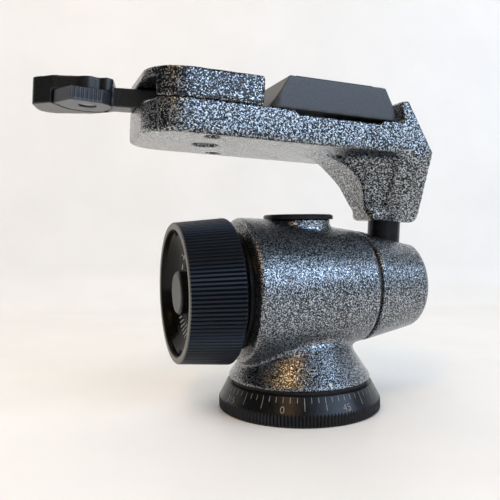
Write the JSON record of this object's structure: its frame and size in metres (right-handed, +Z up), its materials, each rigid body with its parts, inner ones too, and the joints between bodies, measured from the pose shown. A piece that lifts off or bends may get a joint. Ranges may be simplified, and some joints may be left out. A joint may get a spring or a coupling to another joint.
{
  "type": "three way pan tilt head",
  "caption": "Tripod head with a graduated pan base, horizontal barrel, lock knob, turning nose, tilting post and an offset arm with a lever clamp plate.",
  "frame": {"origin": "centre of the base underside, on the pan axis at the mouth of the tripod thread", "axes": "+Z up along the pan axis, +X along the barrel from the knob towards the nose"},
  "size_m": [0.14, 0.06, 0.1219],
  "materials": {
    "hammertone_enamel": "hammertone stoving enamel, dark valleys and silvery flecks, glossy",
    "black_anodised": "black anodised aluminium, satin",
    "dish_gloss": "black moulded plastic, glossy",
    "black_steel": "blackened steel, satin",
    "plain_steel": "turned steel",
    "brass": "turned brass",
    "ptfe": "black low friction plastic",
    "lever_plastic": "black glass filled moulding",
    "pad_rubber": "ribbed rubber",
    "vial": "acrylic vial with tinted fluid"
  },
  "bodies": {
    "base": {"base_ring": "black_anodised", "thread_bush": "plain_steel", "pan_spindle": "plain_steel", "base_screws": "plain_steel", "pan_friction_ring": "ptfe", "spindle_nut": "plain_steel", "spindle_washer": "plain_steel"},
    "housing": {"housing": "hammertone_enamel", "end_cap": "black_anodised", "end_cap_screws": "plain_steel", "level_bezel": "black_anodised", "level_vial": "vial", "plunger_guide": "brass", "nose_washer": "ptfe", "nose_retaining_ring": "plain_steel"},
    "plunger": {"pan_plunger": "plain_steel"},
    "knob": {"lock_knob": "black_anodised", "knob_dish": "dish_gloss", "knob_spindle": "plain_steel", "knob_grub_screw": "plain_steel"},
    "dial": {"friction_dial": "black_anodised"},
    "sleeve": {"push_sleeve": "plain_steel", "disc_springs": "plain_steel", "thrust_washer": "brass"},
    "nose": {"nose_cone": "hammertone_enamel"},
    "brake": {"brake_block": "brass"},
    "arm": {"tilt_drum": "plain_steel", "post": "black_steel", "post_cross_pin": "plain_steel", "arm_bracket": "hammertone_enamel", "clamp_block": "hammertone_enamel", "block_screws": "plain_steel", "lever_pivot_screw": "plain_steel", "pivot_nut": "plain_steel", "jaw_spring_pins": "plain_steel", "release_pin_bush": "plain_steel"},
    "lever": {"clamp_lever": "lever_plastic", "catch_pin": "plain_steel", "catch_spring": "plain_steel"},
    "catch": {"safety_catch": "lever_plastic"},
    "jaw": {"clamp_jaw": "black_anodised"},
    "release": {"release_pin": "brass"},
    "plate": {"quick_plate": "black_anodised", "plate_pad": "pad_rubber", "screw_clip": "plain_steel"},
    "camera_fixing": {"camera_screw": "plain_steel"}
  },
  "joints": [
    {"name": "pan", "type": "hinge", "parent": "base", "child": "housing", "pos_m": [0, 0, 0.0103], "axis": [0, 0, 1], "continuous": true},
    {"name": "side_tilt", "type": "hinge", "parent": "housing", "child": "nose", "pos_m": [0.0239, 0, 0.0438], "axis": [1, 0, 0], "range_deg": [-90, 90]},
    {"name": "front_tilt", "type": "hinge", "parent": "nose", "child": "arm", "pos_m": [0.0356, 0, 0.0438], "axis": [0, 1, 0], "range_deg": [-8, 87]},
    {"name": "lock_turn", "type": "hinge", "parent": "housing", "child": "knob", "pos_m": [-0.0244, 0, 0.0438], "axis": [1, 0, 0], "range_deg": [-270, 0]},
    {"name": "dial_turn", "type": "hinge", "parent": "knob", "child": "dial", "pos_m": [-0.0466, 0, 0.0438], "axis": [1, 0, 0], "range_deg": [-150, 150]},
    {"name": "sleeve_slide", "type": "slide", "parent": "housing", "child": "sleeve", "axis": [1, 0, 0], "range_m": [-0.00113, 0]},
    {"name": "brake_slide", "type": "slide", "parent": "nose", "child": "brake", "axis": [1, 0, 0], "range_m": [-0.00113, 0]},
    {"name": "plunger_slide", "type": "slide", "parent": "housing", "child": "plunger", "axis": [0, 0, 1], "range_m": [0, 0.00026]},
    {"name": "lever_swing", "type": "hinge", "parent": "arm", "child": "lever", "pos_m": [-0.03507, 0, 0.10648], "axis": [0.0523, 0, 0.9986], "range_deg": [0, 42]},
    {"name": "jaw_slide", "type": "slide", "parent": "arm", "child": "jaw", "axis": [0.9986, 0, -0.0523], "range_m": [0, 0.00421]},
    {"name": "catch_press", "type": "hinge", "parent": "lever", "child": "catch", "pos_m": [-0.07508, 0.00578, 0.11058], "axis": [0.0523, 0, 0.9986], "range_deg": [0, 10], "stiffness_Nm_per_rad": 0.04, "springref_deg": -11.46},
    {"name": "release_press", "type": "slide", "parent": "arm", "child": "release", "axis": [0.0523, 0, 0.9986], "range_m": [-0.0012, 0], "stiffness_N_per_m": 300, "springref_m": 0.002},
    {"name": "plate_lift", "type": "slide", "parent": "arm", "child": "plate", "axis": [0.0523, 0, 0.9986], "range_m": [0, 0.02]},
    {"name": "camera_screw_turn", "type": "hinge", "parent": "plate", "child": "camera_fixing", "pos_m": [0.0047, 0, 0.11532], "axis": [0.0523, 0, 0.9986], "continuous": true}
  ],
  "couplings": [
    {"joint": "sleeve_slide", "follows": "lock_turn", "m_per_rad": 0.00023873},
    {"joint": "brake_slide", "follows": "lock_turn", "m_per_rad": 0.00023873},
    {"joint": "plunger_slide", "follows": "lock_turn", "m_per_rad": -0.000053},
    {"joint": "jaw_slide", "follows": "lever_swing", "m_per_rad": 0.0057296}
  ]
}
